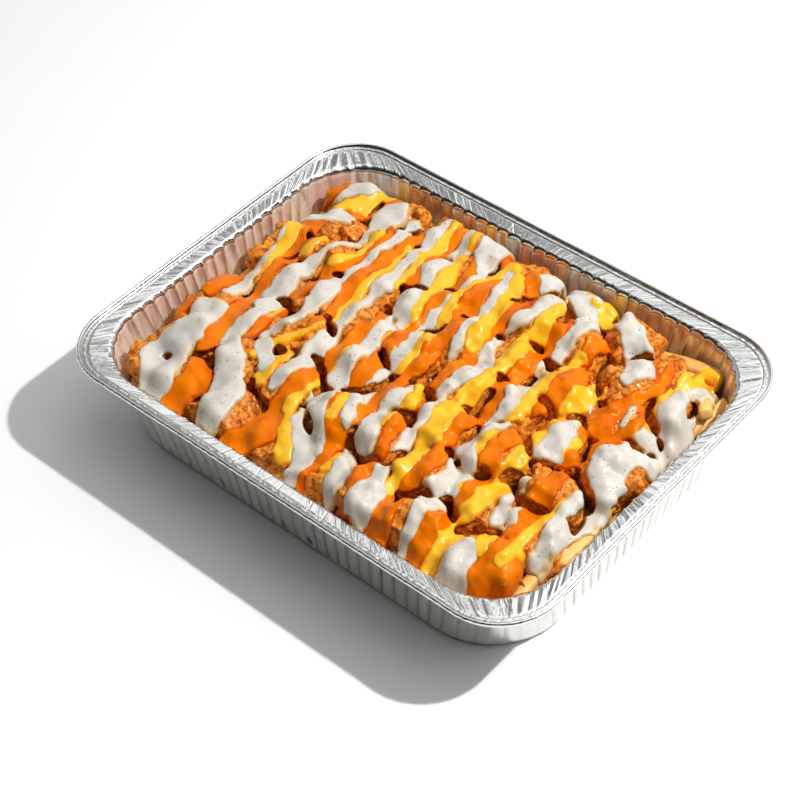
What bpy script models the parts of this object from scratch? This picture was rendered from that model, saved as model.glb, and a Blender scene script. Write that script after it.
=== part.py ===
# Foil tray meal: a half-size foil tray filled with fries, fried chicken bites and drizzled sauces.
# Metres, +Z up, origin at the middle of the tray's foot, +X along the tray's long side.
import math
import random

import bmesh
import bpy
from mathutils import Vector, noise

MM = 0.001

# Driving sizes of the tray
RIM_LENGTH = 324 * MM
RIM_WIDTH = 246 * MM
TRAY_HEIGHT = 57 * MM
FOIL = 0.6 * MM
FLANGE = 12.2 * MM
WALL_TAPER = 6.5 * MM
FOOT_ROUND = 4 * MM
RIM_CORNER = 37 * MM
MOUTH_CORNER = 41 * MM
FOOT_CORNER = 46 * MM
MOUTH_DROP = 3 * MM
WALL_TOP_DROP = 9 * MM
RIB_DEPTH = 0.5 * MM

# The rolled edge, as a solid roll
ROLL_TOP_INSET = 2.2 * MM
ROLL_SIDE_DROP = 2.1 * MM
ROLL_FOOT_INSET = 1.3 * MM
ROLL_FOOT_DROP = 4.2 * MM
GROOVE_INSET = 4.6 * MM
GROOVE_DROP = 1.5 * MM

# Facets: four rib facets lie under each facet of the rim
LONG_FACETS = 18
SHORT_FACETS = 12
CORNER_FACETS = 6
RIB_FACETS = 4

# Driving sizes of the bed of fries
GAP = 0.4 * MM
BED_CLEAR = 1.6 * MM
BED_SIDE = 28 * MM
BED_TOP = 30 * MM
BED_SHOULDER = 24 * MM
BED_CORNER_FACETS = 5
FRY_THICK = 7 * MM
FRY_LENGTHS = (52 * MM, 84 * MM)
FRY_BEND = 3 * MM
FRY_TOP = 33.5 * MM
FRIES_ACROSS = 9
FRIES_DEEP = 5
FRY_PLACE_SPAN = (0.1, 0.9)
FRY_SINK = 2.5 * MM
DRAWN_IN = 0.97

# Driving sizes of the chicken bites
BITES_ACROSS = 8
BITES_DEEP = 7
BITE_FLOOR = FRY_TOP + GAP
BITE_LONG = 30 * MM
BITE_WIDE = 26 * MM
BITE_TALL = 13.5 * MM
BITE_UNEVEN = 0.12
BITE_SHIFT = 0.2
BITE_MIDDLE_LOW = 38.2 * MM
BITE_MIDDLE_RISE = 7.5 * MM
BITE_MIDDLE_LEAST = 4 * MM
BITE_MIDDLE_JITTER = 2 * MM
BITE_TILT = 3 * MM
BITE_TALLER = 0.3
BITE_TOP = 66 * MM
NEARNESS_SPAN = 0.85
BITE_SEGMENTS = 12
BITE_RINGS = 7
BITE_LUMPS = 0.3
LUMP_SIZE = 15 * MM
CELL_SOFTNESS = 13
LEAST_FACING = 0.05
SIDE_CLEAR = {"left": 3 * MM, "right": 3 * MM, "front": 2.5 * MM, "back": 3 * MM}
NEIGHBOUR_REACH = 3 * BITE_LONG
CORNER_ANGLES = (22.5, 45, 67.5)

# The food leaves the back right corner bare
BARE_CORNER = (1, 1)
BARE_CORNER_CLEAR = 16 * MM
BARE_CORNER_MARGIN = 11 * MM

# Drizzle: passes of three sauces squeezed side by side across the tray
PASS_PITCH = 29 * MM
PASS_SLANT = -0.2
PASSES = 12
SAUCES = (("white", 0.0, 15 * MM), ("yellow", 11 * MM, 7 * MM), ("orange", 18 * MM, 8 * MM))
DRIZZLE_THICK = 2.2 * MM
WOBBLE = 3 * MM
WOBBLE_LENGTH = 60 * MM
WOBBLE_STEP = 2.4
SEED = 11


def clear_scene():
    for old in list(bpy.data.objects):
        bpy.data.objects.remove(old)


def plain_material(name, colour, roughness, metallic=0.0):
    made = bpy.data.materials.new(name)
    made.use_nodes = True
    shader = made.node_tree.nodes["Principled BSDF"]
    shader.inputs["Base Color"].default_value = (*colour, 1)
    shader.inputs["Roughness"].default_value = roughness
    shader.inputs["Metallic"].default_value = metallic
    return made


def add_mesh_object(name, mesh, collection, material):
    mesh.materials.append(material)
    made = bpy.data.objects.new(name, mesh)
    collection.objects.link(made)
    return made


def rounded_ring(inset, height, corner, facets_each, rib=0.0):
    """Points round a rounded rectangle, inset from the rim, with every second point pushed in by the rib."""
    half_x = RIM_LENGTH / 2 - inset - corner
    half_y = RIM_WIDTH / 2 - inset - corner
    points = []

    def straight(start, end, outward, facets):
        for step in range(facets):
            at = Vector(start).lerp(Vector(end), step / facets)
            points.append((at, Vector(outward)))

    def bend(centre, first_angle, facets):
        for step in range(facets):
            angle = math.radians(first_angle + 90 * step / facets)
            outward = Vector((math.cos(angle), math.sin(angle)))
            points.append((Vector(centre) + corner * outward, outward))

    long_count = LONG_FACETS * facets_each
    short_count = SHORT_FACETS * facets_each
    bend_count = CORNER_FACETS * facets_each
    reach_x, reach_y = half_x + corner, half_y + corner
    straight((reach_x, -half_y), (reach_x, half_y), (1, 0), short_count)
    bend((half_x, half_y), 0, bend_count)
    straight((half_x, reach_y), (-half_x, reach_y), (0, 1), long_count)
    bend((-half_x, half_y), 90, bend_count)
    straight((-reach_x, half_y), (-reach_x, -half_y), (-1, 0), short_count)
    bend((-half_x, -half_y), 180, bend_count)
    straight((-half_x, -reach_y), (half_x, -reach_y), (0, -1), long_count)
    bend((half_x, -half_y), 270, bend_count)
    ring = []
    for index, (at, outward) in enumerate(points):
        pushed = at - outward * (rib if index % 2 else 0.0)
        ring.append(Vector((pushed.x, pushed.y, height)))
    return ring


def loft(rings):
    """A closed mesh through rings. A ring may have a whole number of times its neighbour's points."""
    shape = bmesh.new()
    laid = [[shape.verts.new(point) for point in ring] for ring in rings]
    shape.faces.new(reversed(laid[0]))
    shape.faces.new(laid[-1])
    for low, high in zip(laid, laid[1:]):
        few, many = (low, high) if len(low) <= len(high) else (high, low)
        share = len(many) // len(few)
        for index, corner in enumerate(few):
            following = few[(index + 1) % len(few)]
            run = [many[(index * share + step) % len(many)] for step in range(share + 1)]
            middle = share // 2
            faces = [(corner, a, b) for a, b in zip(run[:middle], run[1:middle + 1])]
            if share == 1:
                faces = [(corner, run[0], run[1], following)]
            else:
                faces.append((corner, run[middle], following))
                faces += [(following, a, b) for a, b in zip(run[middle:], run[middle + 1:])]
            for face in faces:
                shape.faces.new(face if few is high else tuple(reversed(face)))
    bmesh.ops.recalc_face_normals(shape, faces=shape.faces)
    mesh = bpy.data.meshes.new("loft")
    shape.to_mesh(mesh)
    shape.free()
    return mesh


def wall_inset(height):
    """How far the outside of the wall lies inside the rim's outer edge at this height."""
    return FLANGE + WALL_TAPER * (1 - height / TRAY_HEIGHT)


def wall_corner(height):
    return FOOT_CORNER + (MOUTH_CORNER - FOOT_CORNER) * height / TRAY_HEIGHT


def tray_skin(thickness):
    """Rings of one skin of the foil, from the floor's edge to the mouth."""
    wall_top = TRAY_HEIGHT - WALL_TOP_DROP
    floor_inset = wall_inset(0) + FOOT_ROUND
    return [
        rounded_ring(floor_inset, thickness, FOOT_CORNER - FOOT_ROUND, 1),
        rounded_ring(wall_inset(FOOT_ROUND) + thickness, FOOT_ROUND, wall_corner(FOOT_ROUND),
                     RIB_FACETS, RIB_DEPTH),
        rounded_ring(wall_inset(wall_top) + thickness, wall_top, wall_corner(wall_top),
                     RIB_FACETS, RIB_DEPTH),
        rounded_ring(FLANGE + thickness, TRAY_HEIGHT - MOUTH_DROP - FOIL + thickness, MOUTH_CORNER, 1),
    ]


def make_tray(collection, material):
    groove_corner = RIM_CORNER - GROOVE_INSET / 2
    outside = tray_skin(0.0)
    rolled_edge = [
        rounded_ring(GROOVE_INSET, TRAY_HEIGHT - GROOVE_DROP - FOIL, groove_corner, 1),
        rounded_ring(ROLL_FOOT_INSET, TRAY_HEIGHT - ROLL_FOOT_DROP, RIM_CORNER, 1),
        rounded_ring(0, TRAY_HEIGHT - ROLL_SIDE_DROP, RIM_CORNER, 1),
        rounded_ring(ROLL_TOP_INSET, TRAY_HEIGHT, RIM_CORNER, 1),
        rounded_ring(GROOVE_INSET, TRAY_HEIGHT - GROOVE_DROP, groove_corner, 1),
    ]
    inside = tray_skin(FOIL)
    mesh = loft(outside + rolled_edge + inside[::-1])
    return add_mesh_object("tray", mesh, collection, material)


def bed_ring(inset, height, corner):
    """A coarse ring of the bed of fries."""
    half_x = RIM_LENGTH / 2 - inset - corner
    half_y = RIM_WIDTH / 2 - inset - corner
    ring = []
    for quarter, (side_x, side_y) in enumerate(((1, 1), (-1, 1), (-1, -1), (1, -1))):
        for step in range(BED_CORNER_FACETS + 1):
            angle = math.radians(90 * (quarter + step / BED_CORNER_FACETS))
            x = side_x * half_x + corner * math.cos(angle)
            y = side_y * half_y + corner * math.sin(angle)
            ring.append(Vector((x, y, height)))
    return ring


def bed_core():
    """The packed bed, clear of the foil, with a low flat top."""
    clear = FOIL + RIB_DEPTH + BED_CLEAR
    floor_inset = wall_inset(0) + FOOT_ROUND + clear
    return loft([
        bed_ring(floor_inset, FOIL + GAP, FOOT_CORNER - FOOT_ROUND - clear),
        bed_ring(wall_inset(FOOT_ROUND) + clear, FOOT_ROUND + GAP, FOOT_CORNER - clear),
        bed_ring(wall_inset(BED_SIDE) + clear, BED_SIDE, MOUTH_CORNER - clear),
        bed_ring(wall_inset(BED_SIDE) + clear + BED_SHOULDER, BED_TOP, MOUTH_CORNER - BED_SHOULDER),
    ])


def add_fry(middle, heading, length, bend, collection, material):
    """One straight-cut fry: a square stick, bent a little at its middle."""
    bpy.ops.mesh.primitive_cube_add(size=1)
    fry = bpy.context.object
    fry.data.materials.append(material)
    shape = bmesh.new()
    shape.from_mesh(fry.data)
    bmesh.ops.scale(shape, vec=(length, FRY_THICK, FRY_THICK), verts=shape.verts)
    along = [edge for edge in shape.edges if abs(edge.verts[0].co.x - edge.verts[1].co.x) > length / 2]
    bmesh.ops.subdivide_edges(shape, edges=along, cuts=1)
    for corner in shape.verts:
        if abs(corner.co.x) < length / 4:
            corner.co.y += bend * FRY_BEND
    shape.to_mesh(fry.data)
    shape.free()
    fry.location = middle
    fry.rotation_euler = (0, 0, heading)
    for old in fry.users_collection:
        old.objects.unlink(fry)
    collection.objects.link(fry)


def room_inside(x, y, height):
    """How far a place lies inside the foil's inner face at this height; negative when it is beyond it."""
    inset = wall_inset(height) + FOIL + RIB_DEPTH
    corner = wall_corner(height)
    past_x = abs(x) - (RIM_LENGTH / 2 - inset - corner)
    past_y = abs(y) - (RIM_WIDTH / 2 - inset - corner)
    if past_x > 0 and past_y > 0:
        return corner - math.hypot(past_x, past_y)
    return corner - max(past_x, past_y)


def lay_fries(draw, collection, material):
    """Fries crossed over the bed, each drawn inwards until both ends are inside the foil."""
    reach_x = RIM_LENGTH / 2 - wall_inset(FRY_TOP)
    reach_y = RIM_WIDTH / 2 - wall_inset(FRY_TOP)
    for row in range(FRIES_DEEP):
        for column in range(FRIES_ACROSS):
            heading = draw.uniform(0, math.pi)
            x = reach_x * (2 * (column + draw.uniform(*FRY_PLACE_SPAN)) / FRIES_ACROSS - 1)
            y = reach_y * (2 * (row + draw.uniform(*FRY_PLACE_SPAN)) / FRIES_DEEP - 1)
            half = FRY_LENGTHS[1] / 2
            end = Vector((math.cos(heading), math.sin(heading), 0)) * half
            middle = Vector((x, y, FRY_TOP - FRY_THICK / 2 - draw.uniform(0, FRY_SINK)))
            while min(room_inside(*(middle + end).xy, BED_SIDE),
                      room_inside(*(middle - end).xy, BED_SIDE)) < FRY_THICK:
                middle.x *= DRAWN_IN
                middle.y *= DRAWN_IN
            length = draw.uniform(*FRY_LENGTHS)
            bend = draw.uniform(-1, 1)
            add_fry(middle, heading, length, bend, collection, material)


def make_fries(draw, collection, material):
    """The bed of fries: a core with the fries that show joined on by one union."""
    pieces = bpy.data.collections.new("fry pieces")
    bpy.context.scene.collection.children.link(pieces)
    lay_fries(draw, pieces, material)
    fries = add_mesh_object("fries", bed_core(), collection, material)
    union = fries.modifiers.new("join fries", "BOOLEAN")
    union.operation = "UNION"
    union.operand_type = "COLLECTION"
    union.solver = "EXACT"
    union.collection = pieces
    graph = bpy.context.evaluated_depsgraph_get()
    joined = bpy.data.meshes.new_from_object(fries.evaluated_get(graph))
    fries.modifiers.clear()
    fries.data = joined
    for piece in list(pieces.objects):
        bpy.data.objects.remove(piece)
    bpy.data.collections.remove(pieces)
    return fries


def pass_middle(number, y):
    """Where one pass of the drizzle runs, as x for a given y."""
    swing = math.sin(2 * math.pi * y / WOBBLE_LENGTH + WOBBLE_STEP * number)
    return (number - (PASSES - 1) / 2) * PASS_PITCH + PASS_SLANT * y + WOBBLE * swing


def drizzle_thickness(x, y):
    """Thickness of the sauce at a place, from the rounded section of each squeezed line."""
    thickest = 0.0
    for number in range(PASSES):
        for _, offset, width in SAUCES:
            share = abs(x - pass_middle(number, y) - offset) / (width / 2)
            if share < 1:
                thickest = max(thickest, DRIZZLE_THICK * math.sqrt(1 - share * share))
    return thickest


def nearness(x, y):
    """From -1 at the far left corner to 1 at the near right one, where the heap is highest."""
    return (x / RIM_LENGTH - y / RIM_WIDTH) / NEARNESS_SPAN


def out_of_bare_corner(x, y):
    """Draws the middle of a bite inwards if it would lie in the corner that is left bare."""
    corner = wall_corner(BITE_FLOOR)
    centre_x = RIM_LENGTH / 2 - wall_inset(BITE_FLOOR) - corner
    centre_y = RIM_WIDTH / 2 - wall_inset(BITE_FLOOR) - corner
    past_x, past_y = x * BARE_CORNER[0] - centre_x, y * BARE_CORNER[1] - centre_y
    share = (corner - BARE_CORNER_CLEAR - BARE_CORNER_MARGIN) / math.hypot(past_x, past_y)
    if past_x < 0 or past_y < 0 or share > 1:
        return x, y
    return BARE_CORNER[0] * (centre_x + past_x * share), BARE_CORNER[1] * (centre_y + past_y * share)


def bite_middles(draw):
    """Middles of the chicken bites: staggered rows, jittered, higher in the middle of the tray."""
    low_x = -RIM_LENGTH / 2 + wall_inset(BITE_FLOOR) + SIDE_CLEAR["left"]
    high_x = RIM_LENGTH / 2 - wall_inset(BITE_FLOOR) - SIDE_CLEAR["right"]
    low_y = -RIM_WIDTH / 2 + wall_inset(BITE_FLOOR) + SIDE_CLEAR["front"]
    high_y = RIM_WIDTH / 2 - wall_inset(BITE_FLOOR) - SIDE_CLEAR["back"]
    pitch_x = (high_x - low_x) / (BITES_ACROSS + 0.5)
    pitch_y = (high_y - low_y) / BITES_DEEP
    middles = []
    for row in range(BITES_DEEP):
        for column in range(BITES_ACROSS):
            stagger = 0.25 if row % 2 else -0.25
            x = low_x + pitch_x * (column + 0.75 + stagger + draw.uniform(-BITE_SHIFT, BITE_SHIFT))
            y = low_y + pitch_y * (row + 0.5 + draw.uniform(-BITE_SHIFT, BITE_SHIFT))
            x, y = out_of_bare_corner(x, y)
            across = min(1.0, abs(x) / high_x)
            deep = min(1.0, abs(y) / high_y)
            dome = (1 - across ** 3) * (1 - deep ** 3)
            z = BITE_MIDDLE_LOW + BITE_MIDDLE_RISE * dome + BITE_TILT * nearness(x, y)
            z += draw.uniform(-BITE_MIDDLE_JITTER, BITE_MIDDLE_JITTER)
            middles.append(Vector((x, y, max(z, BITE_FLOOR + BITE_MIDDLE_LEAST))))
    return middles


def tray_planes():
    """Planes, each a point and an outward direction, that keep the bites clear of the foil."""
    inset = wall_inset(BITE_FLOOR) + FOIL + RIB_DEPTH
    corner = wall_corner(BITE_FLOOR)
    limit_x = RIM_LENGTH / 2 - inset
    limit_y = RIM_WIDTH / 2 - inset
    planes = [
        (Vector((limit_x - SIDE_CLEAR["right"], 0, 0)), Vector((1, 0, 0))),
        (Vector((-limit_x + SIDE_CLEAR["left"], 0, 0)), Vector((-1, 0, 0))),
        (Vector((0, limit_y - SIDE_CLEAR["back"], 0)), Vector((0, 1, 0))),
        (Vector((0, -limit_y + SIDE_CLEAR["front"], 0)), Vector((0, -1, 0))),
    ]
    for side_x in (-1, 1):
        for side_y in (-1, 1):
            bare = (side_x, side_y) == BARE_CORNER
            clear = BARE_CORNER_CLEAR if bare else SIDE_CLEAR["left"]
            for angle in CORNER_ANGLES:
                turned = math.radians(angle)
                outward = Vector((side_x * math.cos(turned), side_y * math.sin(turned), 0))
                centre = Vector((side_x * (limit_x - corner), side_y * (limit_y - corner), 0))
                planes.append((centre + outward * (corner - clear), outward))
    return planes


def bite_planes(index, middles):
    """The planes round one bite: half way to each neighbour, the foil's, and the tops of the fries."""
    middle = middles[index]
    planes = tray_planes()
    planes.append((Vector((0, 0, BITE_FLOOR)), Vector((0, 0, -1))))
    planes.append((Vector((0, 0, BITE_TOP)), Vector((0, 0, 1))))
    for other in middles:
        between = other - middle
        if 0 < between.length < NEIGHBOUR_REACH:
            planes.append((middle + between / 2 - between.normalized() * GAP, between.normalized()))
    return planes


def egg_reach(middle, direction, size, turn):
    """How far an uncut bite goes in one direction: a lumpy egg."""
    flat = Vector((direction.x * math.cos(turn) + direction.y * math.sin(turn),
                   direction.y * math.cos(turn) - direction.x * math.sin(turn), direction.z))
    squared = sum((flat[axis] / size[axis]) ** 2 for axis in range(3))
    lumps = noise.noise((middle + direction * size[1]) / LUMP_SIZE)
    return (1 + BITE_LUMPS * lumps) / math.sqrt(squared)


def rounded_off(reach, middle, direction, planes):
    """The reach brought softly below every plane it would cross."""
    total = reach ** -CELL_SOFTNESS
    for point, outward in planes:
        facing = direction.dot(outward)
        if facing > LEAST_FACING:
            distance = (point - middle).dot(outward) / facing
            total += max(distance, MM) ** -CELL_SOFTNESS
    return total ** (-1 / CELL_SOFTNESS)


def make_bite(index, middles, draw, collection, material):
    """One chicken bite with its share of the drizzle as low ridges."""
    middle = middles[index]
    planes = bite_planes(index, middles)
    size = [length * draw.uniform(1 - BITE_UNEVEN, 1 + BITE_UNEVEN)
            for length in (BITE_LONG, BITE_WIDE, BITE_TALL)]
    size[2] *= 1 + BITE_TALLER * nearness(middle.x, middle.y)
    turn = draw.uniform(0, math.pi)
    shape = bmesh.new()
    bmesh.ops.create_uvsphere(shape, u_segments=BITE_SEGMENTS, v_segments=BITE_RINGS, radius=1)
    for corner in shape.verts:
        # The poles of the ball lie along Y, so that its meridians run the way the drizzle does
        direction = Vector((corner.co.x, corner.co.z, -corner.co.y)).normalized()
        reach = egg_reach(middle, direction, size, turn)
        bare = middle + direction * rounded_off(reach, middle, direction, planes)
        sauce = drizzle_thickness(bare.x, bare.y) * max(0.0, direction.z)
        corner.co = middle + direction * rounded_off(reach + sauce, middle, direction, planes)
    mesh = bpy.data.meshes.new("bite")
    shape.to_mesh(mesh)
    shape.free()
    bite = add_mesh_object(f"bite_{index + 1:02d}", mesh, collection, material)
    for face in mesh.polygons:
        face.use_smooth = True
    return bite


def main():
    clear_scene()
    meal = bpy.data.collections.new("foil tray meal")
    bpy.context.scene.collection.children.link(meal)
    foil = plain_material("foil", (0.78, 0.78, 0.77), 0.28, metallic=1.0)
    potato = plain_material("potato", (0.86, 0.62, 0.25), 0.55)
    chicken = plain_material("chicken", (0.78, 0.30, 0.06), 0.4)
    make_tray(meal, foil)
    draw = random.Random(SEED)
    make_fries(draw, meal, potato)
    middles = bite_middles(draw)
    for index in range(len(middles)):
        make_bite(index, middles, draw, meal, chicken)


main()
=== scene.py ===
# %% [markdown]
# # Loaded fries in a foil tray
# The object is a half-size foil tray of fries and fried chicken bites under three drizzled sauces.
# The imported model brings plain solids in true size. Each one is replaced here by a piece with the
# real surface.

# %% Open the imported model
import math

import bmesh
import bpy
import numpy as np
from mathutils import Matrix, Vector
from mathutils.bvhtree import BVHTree


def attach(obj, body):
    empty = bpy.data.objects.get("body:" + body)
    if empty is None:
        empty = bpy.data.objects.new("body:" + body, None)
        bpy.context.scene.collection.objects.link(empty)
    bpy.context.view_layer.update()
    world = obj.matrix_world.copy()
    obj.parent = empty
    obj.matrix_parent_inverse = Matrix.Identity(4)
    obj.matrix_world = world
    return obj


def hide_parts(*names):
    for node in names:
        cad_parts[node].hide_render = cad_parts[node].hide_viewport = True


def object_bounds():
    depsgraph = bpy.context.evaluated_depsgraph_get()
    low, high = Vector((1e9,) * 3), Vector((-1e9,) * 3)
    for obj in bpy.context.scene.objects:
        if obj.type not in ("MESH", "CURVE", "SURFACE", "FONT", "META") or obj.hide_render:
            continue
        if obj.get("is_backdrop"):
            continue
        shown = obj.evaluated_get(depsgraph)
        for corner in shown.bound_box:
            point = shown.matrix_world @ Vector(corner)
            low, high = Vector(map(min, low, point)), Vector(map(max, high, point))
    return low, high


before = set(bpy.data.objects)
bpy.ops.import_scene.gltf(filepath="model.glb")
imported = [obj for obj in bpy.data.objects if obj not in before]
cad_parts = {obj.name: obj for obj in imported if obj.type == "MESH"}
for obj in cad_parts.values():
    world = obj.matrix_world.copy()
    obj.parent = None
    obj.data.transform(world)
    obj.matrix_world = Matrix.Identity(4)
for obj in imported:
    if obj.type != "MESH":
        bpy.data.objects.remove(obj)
cad_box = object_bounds()
MM = 0.001
BITES = sorted(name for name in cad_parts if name.startswith("bite_"))
print("solids:", len(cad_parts), "chicken bites:", len(BITES))

# %% [markdown]
# ## The camera
# The picture was taken from above the near right corner with a long lens. A camera in Blender looks
# along its own -Z, so its three axes are worked out from two angles and a small roll, and written
# straight into its matrix.

# %% Camera
AZIMUTH, ELEVATION, ROLL = math.radians(43.57), math.radians(45.92), math.radians(-3.54)
DISTANCE = 1.071
LOOK_AT = Vector((0.0141, -0.0319, 0.057))
LENS = 91.5

back = Vector((math.sin(AZIMUTH) * math.cos(ELEVATION), -math.cos(AZIMUTH) * math.cos(ELEVATION),
               math.sin(ELEVATION)))
level = Vector((math.cos(AZIMUTH), math.sin(AZIMUTH), 0))
upward = back.cross(level)
right = level * math.cos(ROLL) + upward * math.sin(ROLL)
up = upward * math.cos(ROLL) - level * math.sin(ROLL)
lens = bpy.data.cameras.new("camera")
lens.lens = LENS
lens.sensor_width = 36
camera = bpy.data.objects.new("camera", lens)
bpy.context.scene.collection.objects.link(camera)
place = Matrix((right, up, back)).transposed().to_4x4()
place.translation = LOOK_AT + back * DISTANCE
camera.matrix_world = place
bpy.context.scene.camera = camera
print("camera at", [round(value, 3) for value in place.translation])

# %% [markdown]
# ## Node helpers
# Every finish below is a small tree of shader nodes. A few short helpers keep the trees readable:
# they add a node and set or link its sockets by name, start a material or a group that several
# materials share, and wrap the nodes that turn up again and again.

# %% Node helpers
def fill(tree, node, sockets):
    """Sets each socket of a node to a value, or links it if the value is a node's output."""
    for name, value in dict(sockets).items():
        if isinstance(value, bpy.types.NodeSocket):
            tree.links.new(value, node.inputs[name])
        else:
            node.inputs[name].default_value = value
    return node


def add_node(tree, kind, sockets=(), **settings):
    """Adds a node with its settings and fills its sockets."""
    made = tree.nodes.new(kind)
    for name, value in settings.items():
        setattr(made, name, value)
    return fill(tree, made, sockets)


def calc(tree, operation, *values):
    """Arithmetic on numbers or links; gives the result."""
    return add_node(tree, "ShaderNodeMath", enumerate(values), operation=operation).outputs[0]


def vector_calc(tree, operation, first, second):
    """Arithmetic on two vectors; gives a number where the operation does, or else a vector."""
    made = add_node(tree, "ShaderNodeVectorMath", {0: first, 1: second}, operation=operation)
    return made.outputs["Value" if operation in ("DOT_PRODUCT", "DISTANCE") else "Vector"]


def mapped(tree, value, low, high, to_low=0.0, to_high=1.0):
    """Maps the range from low to high onto another one, and stops at its ends."""
    return add_node(tree, "ShaderNodeMapRange", {"Value": value, "From Min": low, "From Max": high,
                    "To Min": to_low, "To Max": to_high}).outputs["Result"]


def mixed(tree, factor, first, second, blend="MIX"):
    """Mixes two colours, each a link or three numbers."""
    first, second = (one if isinstance(one, bpy.types.NodeSocket) else (*one, 1)
                     for one in (first, second))
    return add_node(tree, "ShaderNodeMix", {0: factor, 6: first, 7: second}, data_type="RGBA",
                    blend_type=blend).outputs[2]


def noise_at(tree, where, scale, detail, roughness=0.5):
    """Noise between 0 and 1."""
    return add_node(tree, "ShaderNodeTexNoise", {"Vector": where, "Scale": scale, "Detail": detail,
                    "Roughness": roughness}).outputs["Fac"]


def bumped(tree, height, strength, distance):
    """The normal of a surface with this fine height on it."""
    return add_node(tree, "ShaderNodeBump", {"Height": height, "Strength": strength,
                    "Distance": distance}).outputs["Normal"]


def ramp(tree, factor, stops):
    """A colour ramp with stops of (position, colour)."""
    made = add_node(tree, "ShaderNodeValToRGB", {"Fac": factor})
    band = made.color_ramp
    while len(band.elements) < len(stops):
        band.elements.new(0.5)
    for element, (position, colour) in zip(band.elements, stops):
        element.position = position
        element.color = (*colour, 1)
    return made.outputs["Color"]


def start_material(name):
    """A material with its tree and its Principled shader."""
    made = bpy.data.materials.new(name)
    made.use_nodes = True
    return made, made.node_tree, made.node_tree.nodes["Principled BSDF"]


def start_group(name, size, second, output):
    """A shader group with a Size and one more input, on Object coordinates, with one output."""
    tree = bpy.data.node_groups.new(name, "ShaderNodeTree")
    for label, default in (("Size", size), second):
        socket = tree.interface.new_socket(label, in_out="INPUT", socket_type="NodeSocketFloat")
        socket.default_value = default
    tree.interface.new_socket(output, in_out="OUTPUT", socket_type="NodeSocketFloat")
    where = add_node(tree, "ShaderNodeTexCoord").outputs["Object"]
    return tree, where, tree.nodes.new("NodeGroupInput").outputs, tree.nodes.new("NodeGroupOutput")


def use_group(tree, group, **values):
    """Places a shared group in a material with its own values; gives its output."""
    made = tree.nodes.new("ShaderNodeGroup")
    made.node_tree = group
    return fill(tree, made, values).outputs[0]


# %% [markdown]
# ## Piece helpers
# Every piece starts as plain lists of points and faces and ends with a material, a place on the
# body, and the imported solids that it stands for hidden.

# %% Piece helpers
def finish_piece(obj, material, nodes):
    """Gives a finished mesh its material and its body, and hides the solids it stands for."""
    obj.data.materials.clear()
    obj.data.materials.append(material)
    obj.data.polygons.foreach_set("material_index", [0] * len(obj.data.polygons))
    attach(obj, "root")
    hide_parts(*nodes)
    return obj


def new_object(name, vertices, faces, smooth=True):
    """An object from plain lists of points and faces, at the origin."""
    mesh = bpy.data.meshes.new(name)
    mesh.from_pydata(vertices, [], faces)
    mesh.update()
    mesh.polygons.foreach_set("use_smooth", [smooth] * len(mesh.polygons))
    made = bpy.data.objects.new(name, mesh)
    bpy.context.scene.collection.objects.link(made)
    return made


def add_attribute(obj, name, values):
    """One number for each point, which a finish can read by its name."""
    layer = obj.data.attributes.new(name, "FLOAT", "POINT")
    layer.data.foreach_set("value", values.ravel().astype(np.float32))


print("helpers ready for", len(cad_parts), "solids")

# %% [markdown]
# ## Shared effects
# Three effects turn up on several finishes. Blotches mix broad light and dark patches, as oil and
# sauce do. Grain is a fine uneven height, as on crust and cut potato. Crinkle is the height of
# handled foil: flat facets between sharp folds, which a Voronoi pattern gives at once.

# %% Shared effects
blotches, where, given, result = start_group("blotches", 20, ("Sharpness", 0.5), "Mask")
wave = noise_at(blotches, where, given["Size"], 3.0, 0.55)
low = calc(blotches, "SUBTRACT", 0.5, given["Sharpness"])
high = calc(blotches, "ADD", 0.5, given["Sharpness"])
fill(blotches, result, {"Mask": mapped(blotches, wave, low, high)})

grain, where, given, result = start_group("grain", 400, ("Depth", 1), "Height")
wave = noise_at(grain, where, given["Size"], 5.0, 0.65)
fill(grain, result, {"Height": calc(grain, "MULTIPLY", wave, given["Depth"])})

crinkle, where, given, result = start_group("crinkle", 300, ("Depth", 1), "Height")
folds = add_node(crinkle, "ShaderNodeTexVoronoi", {"Vector": where, "Scale": given["Size"]},
                 feature="F1").outputs["Distance"]
both = calc(crinkle, "ADD", folds, noise_at(crinkle, where, given["Size"], 2.0))
fill(crinkle, result, {"Height": calc(crinkle, "MULTIPLY", both, given["Depth"])})
print("shared effects:", blotches.name, grain.name, crinkle.name)

# %% [markdown]
# ## Foil finish
# Pressed aluminium foil is a metal with a bright but slightly broken reflection. Metallic is 1, and
# the roughness wanders a little where the foil was rubbed. The real folds are in the mesh; the
# bump only adds the smallest facets.

# %% Foil finish
RUBBED_SHADE = 0.86


def foil_finish(name, tint, rough_low, rough_high, facet_size, facet_depth):
    """Foil of one tint, with its range of roughness and its facets."""
    material, tree, shader = start_material(name)
    rubbed = use_group(tree, blotches, Size=60, Sharpness=0.3)
    dull = tuple(channel * RUBBED_SHADE for channel in tint)
    facets = use_group(tree, crinkle, Size=facet_size, Depth=1)
    fill(tree, shader, {
        "Base Color": ramp(tree, rubbed, [(0.0, tint), (1.0, dull)]), "Metallic": 1.0,
        "Roughness": mapped(tree, rubbed, 0.0, 1.0, rough_low, rough_high),
        "Normal": bumped(tree, facets, 1.0, facet_depth)})
    return material


rim_foil = foil_finish("rim_foil", (0.86, 0.86, 0.84), 0.13, 0.22, 330, 0.05 * MM)
wall_foil = foil_finish("wall_foil", (0.84, 0.84, 0.8), 0.24, 0.34, 130, 0.08 * MM)
print("foil:", rim_foil.name, wall_foil.name)
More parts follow.
